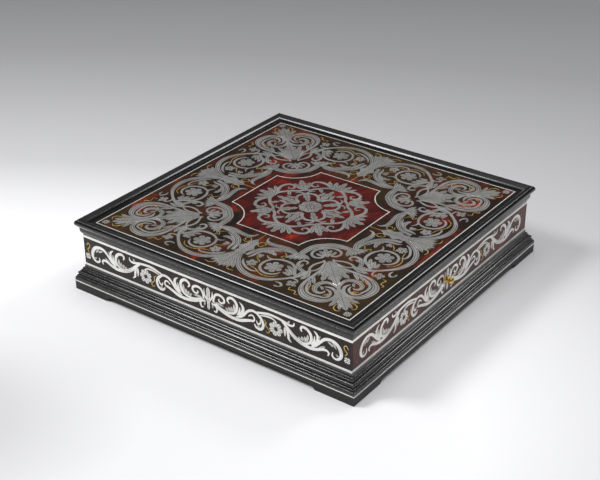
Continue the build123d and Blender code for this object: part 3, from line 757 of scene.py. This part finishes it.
def endTree(tree, geometry, finish):
    real = addNode(tree, "GeometryNodeRealizeInstances", {"Geometry": geometry})
    dressed = addNode(tree, "GeometryNodeSetMaterial", {"Geometry": real, "Material": finish})
    addNode(tree, "NodeGroupOutput", {"Geometry": dressed})


def makeRibbonTree():
    # a flat strip along each curve, as wide as the curve's radius says, with its top at the
    # curve's height; what the engraving needs to know stays on it as named attributes
    tree, given = startTree("flatRibbon", {
        "Bed": ("Float", 0.3 * mm), "Steps": ("Int", 5), "Leafy": ("Float", 0.0),
        "Finish": ("Material", None),
    })
    smooth = addNode(tree, "GeometryNodeCurveSplineType", {"Curve": given["Geometry"]},
                     spline_type="CATMULL_ROM")
    fine = addNode(tree, "GeometryNodeSetSplineResolution", {
        "Geometry": smooth, "Resolution": given["Steps"],
    })
    curve = addNode(tree, "GeometryNodeSetCurveNormal", {"Curve": fine}, mode="Z_UP")
    half = addNode(tree, "GeometryNodeInputRadius")
    run = addNode(tree, "GeometryNodeSplineParameter").outputs["Length"]
    place = addNode(tree, "GeometryNodeInputPosition")
    height = addNode(tree, "ShaderNodeSeparateXYZ", {0: place}).outputs["Z"]
    halfMm = addNode(tree, "ShaderNodeMath", {0: half, 1: mm}, operation="DIVIDE")
    runMm = addNode(tree, "ShaderNodeMath", {0: run, 1: mm}, operation="DIVIDE")
    along = {"halfWidth": halfMm, "run": runMm, "height": height, "leafy": given["Leafy"]}
    for name, value in along.items():
        curve = addNode(tree, "GeometryNodeStoreNamedAttribute", {
            "Geometry": curve, "Name": name, "Value": value,
        })

    section = addNode(tree, "GeometryNodeCurvePrimitiveQuadrilateral", {
        "Width": 2.0, "Height": 2.0,
    })
    spot = addNode(tree, "ShaderNodeSeparateXYZ", {0: place}).outputs
    for name, value in {"across": spot["X"], "upper": spot["Y"]}.items():
        section = addNode(tree, "GeometryNodeStoreNamedAttribute", {
            "Geometry": section, "Name": name, "Value": value,
        })
    strip = addNode(tree, "GeometryNodeCurveToMesh", {
        "Curve": curve, "Profile Curve": section, "Scale": half, "Fill Caps": True,
    })

    # the section's upper half goes to the kept height, and its lower half into the bed
    kept = addNode(tree, "GeometryNodeInputNamedAttribute", {"Name": "height"})
    upper = addNode(tree, "GeometryNodeInputNamedAttribute", {"Name": "upper"})
    lower = addNode(tree, "ShaderNodeMath", {0: upper, 1: 0.0}, operation="LESS_THAN")
    sunk = addNode(tree, "ShaderNodeMath", {0: lower, 1: given["Bed"]}, operation="MULTIPLY")
    level = addNode(tree, "ShaderNodeMath", {0: kept, 1: sunk}, operation="SUBTRACT")
    flat = addNode(tree, "ShaderNodeCombineXYZ", {"X": spot["X"], "Y": spot["Y"], "Z": level})
    strip = addNode(tree, "GeometryNodeSetPosition", {"Geometry": strip, "Position": flat})
    strip = addNode(tree, "GeometryNodeSetShadeSmooth", {"Geometry": strip, "Shade Smooth": False})
    endTree(tree, strip, given["Finish"])
    return tree


ribbonTree = makeRibbonTree()


def treeResult(name, data, tree, inputs):
    # runs a node tree on some data and returns the result as a plain mesh
    holder = bpy.data.objects.new(name, data)
    sceneCollection.objects.link(holder)
    modifier = holder.modifiers.new(name, "NODES")
    modifier.node_group = tree
    for socket in tree.interface.items_tree:
        if socket.in_out == "INPUT" and socket.name in inputs:
            modifier[socket.identifier] = inputs[socket.name]
    holder.update_tag()
    graph = bpy.context.evaluated_depsgraph_get()
    mesh = bpy.data.meshes.new_from_object(holder.evaluated_get(graph), depsgraph=graph)
    bpy.data.objects.remove(holder)
    mesh.name = name
    return mesh


def addPiece(name, mesh, body):
    piece = bpy.data.objects.new(name, mesh)
    sceneCollection.objects.link(piece)
    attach(piece, body)
    return piece


marquetry = {
    "proud": 0.02,  # mm that the lowest stroke stands above the veneer
    "step": 0.004,  # mm from one stroke to the next, so that no two that cross lie in one plane
    "bed": 0.3,  # mm that each stroke is let into the veneer
    "kinds": {
        "band": {"finish": "engravedPewter", "leafy": 0.0, "steps": 5, "slot": "pewter"},
        "leaf": {"finish": "engravedPewter", "leafy": 1.0, "steps": 3, "slot": "pewter"},
        "brass": {"finish": "brassLine", "leafy": 0.0, "steps": 4, "slot": "brass"},
    },
}


def inlay(name, strokes, placing, body):
    # strokes are (stroke, layer); one piece of each kind, put in its place by a matrix
    for kind, look in marquetry["kinds"].items():
        chosen = [(stroke, layer) for stroke, layer in strokes if stroke["kind"] == kind]
        if not chosen:
            continue
        curve = bpy.data.curves.new(name, "CURVE")
        curve.dimensions = "3D"
        for stroke, layer in chosen:
            height = marquetry["proud"] + marquetry["step"] * layer
            spline = curve.splines.new("POLY")
            spline.points.add(len(stroke["points"]) - 1)
            for knot, (x, y), half in zip(spline.points, stroke["points"], stroke["halves"]):
                knot.co = (x * mm, y * mm, height * mm, 1)
                knot.radius = half * mm
        mesh = treeResult(name + "_" + kind, curve, ribbonTree, {
            "Bed": marquetry["bed"] * mm, "Steps": look["steps"], "Leafy": look["leafy"],
            "Finish": finishes[look["finish"]],
        })
        mesh.transform(placing)
        addPiece(name + "_" + kind, mesh, body)
        print(name, kind, len(chosen), "strokes,", len(mesh.polygons), "faces")


def moved(stroke, change, slim=1.0):
    points = [change(x, y) for x, y in stroke["points"]]
    halves = [half * slim for half in stroke["halves"]]
    return {"kind": stroke["kind"], "points": points, "halves": halves}


def quarterTurns(x, y, count):
    for _ in range(count):
        x, y = -y, x
    return x, y


def fourfold(wedge, onAxis, onDiagonal):
    # v points to the front of the lid, which is -Y
    strokes = []
    for layer, stroke in enumerate(wedge + onAxis + onDiagonal):
        for quarter in range(4):
            strokes.append((moved(stroke, lambda u, v: quarterTurns(u, -v, quarter)), layer))
            if stroke in wedge:
                twin = moved(stroke, lambda u, v: quarterTurns(v, -u, quarter))
                strokes.append((twin, layer + 0.5))
    return strokes


def mirrored(half, onAxis, stretch, slim):
    strokes = []
    for layer, stroke in enumerate(half + onAxis):
        strokes.append((moved(stroke, lambda s, h: (s * stretch, h), slim), layer))
        if stroke in half:
            strokes.append((moved(stroke, lambda s, h: (-s * stretch, h), slim), layer + 0.5))
    return strokes


def uprightTurn(out):
    # local x runs along a side, y up and z outwards
    up = Vector((0, 0, 1))
    return Matrix((up.cross(out), up, out)).transposed().to_4x4()


def topOf(node):
    return Matrix.Translation((0, 0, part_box(node)[1].z))


def faceOf(node, out):
    low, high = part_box(node)
    middle = (low + high) / 2
    reach = max(low.dot(out), high.dot(out))
    return Matrix.Translation(middle - out * middle.dot(out) + out * reach) @ uprightTurn(out)


inlay("lidMarquetry", fourfold(lidWedge + lidTendrils, lidOnAxis, lidOnDiagonal),
      topOf("lid_field_veneer"), "lid")
flowerFrom = len(cartoucheWedge) + 8  # the layer from which the flower lies over all the rest
flower = [(stroke, layer) for layer, stroke in enumerate(cartoucheFlower, flowerFrom)]
inlay("cartoucheMarquetry", fourfold(cartoucheWedge, cartoucheOnAxis, cartoucheOnDiagonal) + flower,
      topOf("cartouche_veneer"), "lid")

sideWays = {"front": (0, -1, 0), "right": (1, 0, 0), "back": (0, 1, 0), "left": (-1, 0, 0)}
friezes = {
    "slim": 0.86,  # how much narrower the strokes are cut than drawn
    "drawerStretch": 0.985,  # the drawer's face is a little shorter, and has no sprigs at its ends
}


def addFriezes():
    half = friezeHalf + friezeTendrils
    onCase = mirrored(half + friezeEnds, friezeOnAxis, 1.0, friezes["slim"])
    for side in ("front", "left", "back"):
        place = faceOf("frieze_" + side, Vector(sideWays[side]))
        inlay(side + "Frieze", onCase, place, "case")
    onDrawer = mirrored(half, friezeOnAxis, friezes["drawerStretch"], friezes["slim"])
    inlay("drawerFrieze", onDrawer, faceOf("drawer_veneer", Vector(sideWays["right"])), "drawer")


addFriezes()


knob = {
    # outline from the drawer's face outwards, as (distance out, radius) in mm
    "plate": [(0.0, 4.6), (0.5, 4.6), (0.9, 4.2), (0.9, 2.7)],
    "neck": [(1.1, 2.1), (1.6, 1.8), (2.2, 1.7), (2.7, 1.9), (3.0, 2.4)],
    "head": {"middle": 4.9, "radius": 3.9, "back": 1.75, "front": 2.4},  # an egg, flatter behind
    "headSteps": 24, "headFrom": 4,  # in a half-turn, and the first that the neck leaves free
    "shankRadius": 1.5, "turns": 48,
}


def turned(name, outline, count):
    # a solid of revolution about x, with both ends of the outline on the axis
    verts = [(outline[0][0] * mm, 0, 0), (outline[-1][0] * mm, 0, 0)]
    rings = outline[1:-1]
    for along, radius in rings:
        for index in range(count):
            angle = index * 2 * math.pi / count
            verts.append((
                along * mm, radius * mm * math.cos(angle), radius * mm * math.sin(angle),
            ))
    faces = []
    for index in range(count):
        after = (index + 1) % count
        faces.append((0, 2 + after, 2 + index))
        last = 2 + (len(rings) - 1) * count
        faces.append((1, last + index, last + after))
        for ring in range(len(rings) - 1):
            low = 2 + ring * count
            faces.append((low + index, low + after, low + count + after, low + count + index))
    mesh = bpy.data.meshes.new(name)
    mesh.from_pydata(verts, [], faces)
    return mesh


def smoothExceptCorners(mesh, degrees=35):
    mesh.shade_smooth()
    mesh.set_sharp_from_angle(angle=math.radians(degrees))


def makeKnob():
    low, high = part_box("drawer_knob")
    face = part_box("drawer_veneer")[1].x
    shankEnd = (low.x - face) / mm
    outline = [(shankEnd, 0.0), (shankEnd, knob["shankRadius"]), (0.0, knob["shankRadius"])]
    outline += knob["plate"] + knob["neck"]
    head, steps = knob["head"], knob["headSteps"]
    for step in range(knob["headFrom"], steps + 1):
        angle = math.pi * step / steps
        reach = head["back"] if angle < math.pi / 2 else head["front"]
        out = head["middle"] - reach * math.cos(angle)
        outline.append((out, head["radius"] * math.sin(angle)))
    mesh = turned("turnedKnob", outline, knob["turns"])
    mesh.materials.append(finishes["brass"])
    smoothExceptCorners(mesh)
    mesh.transform(Matrix.Translation((face, (low.y + high.y) / 2, (low.z + high.z) / 2)))
    piece = addPiece("turnedKnob", mesh, "drawer")
    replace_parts(piece, "drawer_knob")


makeKnob()
print("knob turned")


mouldings = {
    # all points are (distance out from the friezes, height) in mm
    # the base, with heights above the pewter line: a slope, and reeds on it, each with its radius
    "reeds": [
        (8.3, 3.1, 0.95), (6.9, 5.3, 0.95), (4.9, 8.5, 1.9), (3.1, 11.8, 0.95), (1.8, 13.9, 0.95),
    ],
    "slope": ((9.3, 1.7), (0.9, 15.8)),
    "foot": [(-1.2, -1.1), (6.3, -1.1), (6.3, 0.0), (9.3, 0.0)],
    "neck": [(0.9, 17.7), (-1.2, 17.7)],
    # the lid's rim, with heights above the seam: up the swelling neck, round the nose, over the
    # crest and down to the panel
    "rimFoot": [(-6.0, 3.5), (-9.6, 3.5), (-9.6, 0.0), (0.0, 0.0), (0.0, 0.9)],
    "rimSwell": [(0.3, 0.9), (1.79, 3.5), (2.3, 6.3)],
    "rimSoffit": [(2.3, 8.5), (2.8, 8.5)],
    "rimNose": [(5.4, 11.7), (6.0, 14.3), (3.2, 17.79)],
    "rimInside": [(1.6, 17.79), (-2.2, 16.0), (-4.4, 13.5)],
    "rimBead": [(-4.4, 13.0), (-6.0, 13.0)],
    "arcSteps": 14,
}


def arcBetween(centre, radius, first, last):
    # counter-clockwise from one angle to the other
    steps = mouldings["arcSteps"]
    sweep = (last - first) % (2 * math.pi)
    angles = [first + sweep * step / steps for step in range(steps + 1)]
    return [
        (centre[0] + radius * math.cos(angle), centre[1] + radius * math.sin(angle))
        for angle in angles
    ]


def arcThrough(points):
    # from the first of three points to the last, by way of the second
    (ax, ay), (bx, by), (cx, cy) = points
    cross = 2 * (ax * (by - cy) + bx * (cy - ay) + cx * (ay - by))
    a, b, c = ax * ax + ay * ay, bx * bx + by * by, cx * cx + cy * cy
    centre = ((a * (by - cy) + b * (cy - ay) + c * (ay - by)) / cross,
              (a * (cx - bx) + b * (ax - cx) + c * (bx - ax)) / cross)
    first, last = (math.atan2(y - centre[1], x - centre[0]) for x, y in (points[0], points[2]))
    radius = math.hypot(ax - centre[0], ay - centre[1])
    if cross > 0:
        return arcBetween(centre, radius, first, last)
    return arcBetween(centre, radius, last, first)[::-1]


def baseOutline():
    start, end = (Vector(point) for point in mouldings["slope"])
    along = (end - start).normalized()
    outline = mouldings["foot"] + [tuple(start)]
    for out, height, radius in mouldings["reeds"]:
        centre = Vector((out, height))
        middle = (centre - start).dot(along)
        half = math.sqrt(radius ** 2 - (centre - start - along * middle).length_squared)
        first, last = (start + along * (middle + way * half) - centre for way in (-1, 1))
        outline += arcBetween(
            centre, radius, math.atan2(first.y, first.x), math.atan2(last.y, last.x),
        )
    return outline + [tuple(end)] + mouldings["neck"]


def rimOutline():
    return (
        mouldings["rimFoot"] + arcThrough(mouldings["rimSwell"]) + mouldings["rimSoffit"]
        + arcThrough(mouldings["rimNose"]) + arcThrough(mouldings["rimInside"])
        + mouldings["rimBead"]
    )


def addStrip(name, outline, level, way, body, node):
    # one side of a square frame, which stands for the node; its ends are cut at 45 degrees, so
    # each point of the outline runs as far along as it is out
    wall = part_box("drawer_veneer")[1].x
    count = len(outline)
    verts = []
    for end in (-1, 1):
        for reach, height in outline:
            verts.append((end * (wall + reach * mm), level + height * mm, wall + reach * mm))
    faces = [list(range(count)), list(range(2 * count - 1, count - 1, -1))]
    for index in range(count):
        after = (index + 1) % count
        faces.append((index, count + index, count + after, after))
    mesh = bpy.data.meshes.new(name)
    mesh.from_pydata(verts, [], faces)
    mesh.materials.append(finishOf(node))
    smoothExceptCorners(mesh)
    mesh.transform(uprightTurn(Vector(way)))
    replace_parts(addPiece(name, mesh, body), node)


def makeMouldings():
    # the reeds and the rim's nose are run smooth, so that each shows one unbroken line of light
    for side, way in sideWays.items():
        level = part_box("plinth_line_front")[1].z
        node = "base_moulding_" + side
        addStrip("baseMoulding_" + side, baseOutline(), level, way, "case", node)
        if side != "back":  # the rim's back strip keeps its own mesh, with the room for the hinges
            node = "lid_rim_" + side
            addStrip("lidRim_" + side, rimOutline(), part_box(node)[0].z, way, "lid", node)


makeMouldings()
print("mouldings run")


screws = {
    "headRadius": 1.85, "headDepth": 0.5, "slotWidth": 0.45, "slotDepth": 0.25,
    "sides": 24,
    "pitch": 15.0, "spacing": 220.0,  # mm along a hinge, and between the two hinges
    "leafWidth": 7.7,
    "sunk": 0.05,  # mm below the face of the leaf
}


def makeScrewTree():
    # slotted heads at the given points, each turned by a different amount
    tree, given = startTree("slottedScrews", {
        "Head Radius": ("Float", 1.0), "Head Depth": ("Float", 1.0),
        "Slot Width": ("Float", 1.0), "Slot Depth": ("Float", 1.0),
        "Seed": ("Int", 3), "Finish": ("Material", None),
    })
    head = addNode(tree, "GeometryNodeMeshCylinder", {
        "Vertices": screws["sides"], "Radius": given["Head Radius"], "Depth": given["Head Depth"],
    })
    # the cutter is longer than the head is wide, and its lower half reaches into the head
    long = addNode(tree, "ShaderNodeMath", {0: given["Head Radius"], 1: 3.0}, operation="MULTIPLY")
    deep = addNode(tree, "ShaderNodeMath", {0: given["Slot Depth"], 1: 2.0}, operation="MULTIPLY")
    size = addNode(tree, "ShaderNodeCombineXYZ", {"X": long, "Y": given["Slot Width"], "Z": deep})
    cutter = addNode(tree, "GeometryNodeMeshCube", {"Size": size})
    headTop = addNode(tree, "ShaderNodeMath", {0: given["Head Depth"], 1: 2.0}, operation="DIVIDE")
    lift = addNode(tree, "ShaderNodeCombineXYZ", {"Z": headTop})
    cutter = addNode(tree, "GeometryNodeTransform", {"Geometry": cutter, "Translation": lift})
    slotted = addNode(tree, "GeometryNodeMeshBoolean", {"Mesh 1": head, "Mesh 2": cutter},
                      operation="DIFFERENCE")
    turn = addNode(tree, "FunctionNodeRandomValue", {"Max": (0.0, 0.0, 3.1), "Seed": given["Seed"]},
                   data_type="FLOAT_VECTOR")
    placed = addNode(tree, "GeometryNodeInstanceOnPoints", {
        "Points": given["Geometry"], "Instance": slotted, "Rotation": turn,
    })
    endTree(tree, placed, given["Finish"])
    return tree


screwTree = makeScrewTree()


def addScrews(name, leafNode, facing, body):
    # facing is 1 for a leaf whose open face looks up, and -1 for one that looks down
    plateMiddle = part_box(leafNode)[0].y + screws["leafWidth"] / 2 * mm
    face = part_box("upper_band_back")[1].z if facing > 0 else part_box("lid_rim_back")[0].z
    level = face - facing * (screws["sunk"] + screws["headDepth"] / 2) * mm
    spots = []
    for hinge in (-0.5, 0.5):
        for index in (-1, 0, 1):
            along = hinge * screws["spacing"] * mm + index * screws["pitch"] * mm
            spots.append((along, facing * plateMiddle, 0))
    points = bpy.data.meshes.new(name)
    points.from_pydata(spots, [], [])
    mesh = treeResult(name, points, screwTree, {
        "Head Radius": screws["headRadius"] * mm, "Head Depth": screws["headDepth"] * mm,
        "Slot Width": screws["slotWidth"] * mm, "Slot Depth": screws["slotDepth"] * mm,
        "Finish": finishes["brass"],
    })
    flip = Matrix.Rotation(0 if facing > 0 else math.pi, 4, "X")
    mesh.transform(Matrix.Translation((0, 0, level)) @ flip)
    addPiece(name, mesh, body)


addScrews("caseHingeScrews", "hinge_case_leaves", 1, "case")
addScrews("lidHingeScrews", "hinge_lid_leaves", -1, "lid")
print("screws placed")


studio = {
    # painted pool of light: tone of the sheet under the box, by distance in metres from a point in
    # front of the box
    "pool": [
        (0.18, "#d0d0d1"), (0.31, "#ebebec"), (0.45, "#f1f1f2"), (0.62, "#f6f6f7"),
        (0.80, "#e1e1e2"), (0.97, "#c6c6c7"), (1.38, "#adadae"), (1.69, "#9b9b9c"),
        (2.20, "#8c8d8e"),
    ],
    "poolReach": 2.4, "poolCentre": (-0.21, -0.50),
    "poolSquash": 1.69,  # the distance counts for this much more away from the camera than across
    "sheetReach": 12,
    # the room is darker near the horizon than overhead, and so the polished top isn't veiled
    "room": [(0.45, "#525355"), (0.95, "#d6d6d8")],
    "lamps": {
        "keySoftbox": {"watts": 26.5, "size": 0.6, "place": (-1.15, -0.95, 1.75)},  # front left
        "topSoftbox": {"watts": 15, "size": 1.6, "place": (0.25, 0.0, 2.1)},
        # draws the bright line along the right rim
        "backSoftbox": {"watts": 7.5, "size": 0.45, "place": (0.62, 1.5, 1.35)},
    },
}


def makeSheet():
    # matt white paper with a painted pool of light: its colour is painted pale where the light
    # falls and grey away from it
    reach = studio["sheetReach"]
    corners = [(-reach, -reach, 0), (reach, -reach, 0), (reach, reach, 0), (-reach, reach, 0)]
    sheet = bpy.data.meshes.new("paperSweep")
    sheet.from_pydata(corners, [], [(0, 1, 2, 3)])
    material, tree, shader, place = startMaterial("whitePaper", {
        "Roughness": 0.9, "Specular IOR Level": 0.1,
    })
    fromPaintedPool = addNode(tree, "ShaderNodeMapping", {
        "Vector": place, "Location": (*studio["poolCentre"], 0),
        "Rotation": (0, 0, math.radians(camera["azimuth"])),
        "Scale": (1, 1 / studio["poolSquash"], 1),
    }, vector_type="TEXTURE")
    away = addNode(tree, "ShaderNodeVectorMath", {0: fromPaintedPool}, operation="LENGTH").outputs["Value"]
    share = addNode(tree, "ShaderNodeMapRange", {"Value": away, "From Max": studio["poolReach"]})
    # these tones are painted light, not the paper's own colour
    tone = addNode(tree, "ShaderNodeValToRGB", {"Fac": share}, [
        (distance / studio["poolReach"], colour) for distance, colour in studio["pool"]
    ])
    tree.links.new(tone.outputs[0], shader.inputs["Base Color"])
    sheet.materials.append(material)
    floor = bpy.data.objects.new("paperSweep", sheet)
    sceneCollection.objects.link(floor)


def makeLamps():
    for name, look in studio["lamps"].items():
        lamp = bpy.data.lights.new(name, "AREA")
        lamp.energy = look["watts"]
        lamp.size = look["size"]
        holder = bpy.data.objects.new(name, lamp)
        sceneCollection.objects.link(holder)
        holder.location = look["place"]
        holder.rotation_euler = (-holder.location).to_track_quat("-Z", "Y").to_euler()


def makeRoom():
    world = bpy.data.worlds.new("studioWorld")
    bpy.context.scene.world = world
    world.use_nodes = True
    tree = world.node_tree
    tree.nodes.clear()
    way = addNode(tree, "ShaderNodeTexCoord").outputs["Generated"]
    height = addNode(tree, "ShaderNodeSeparateXYZ", {0: way}).outputs["Z"]
    tone = addNode(tree, "ShaderNodeValToRGB", {"Fac": height}, studio["room"])
    glow = addNode(tree, "ShaderNodeBackground", {"Color": tone, "Strength": 1.0})
    addNode(tree, "ShaderNodeOutputWorld", {"Surface": glow})


makeSheet()
makeLamps()
makeRoom()
bpy.context.scene.view_settings.view_transform = "Standard"
print("studio lit")
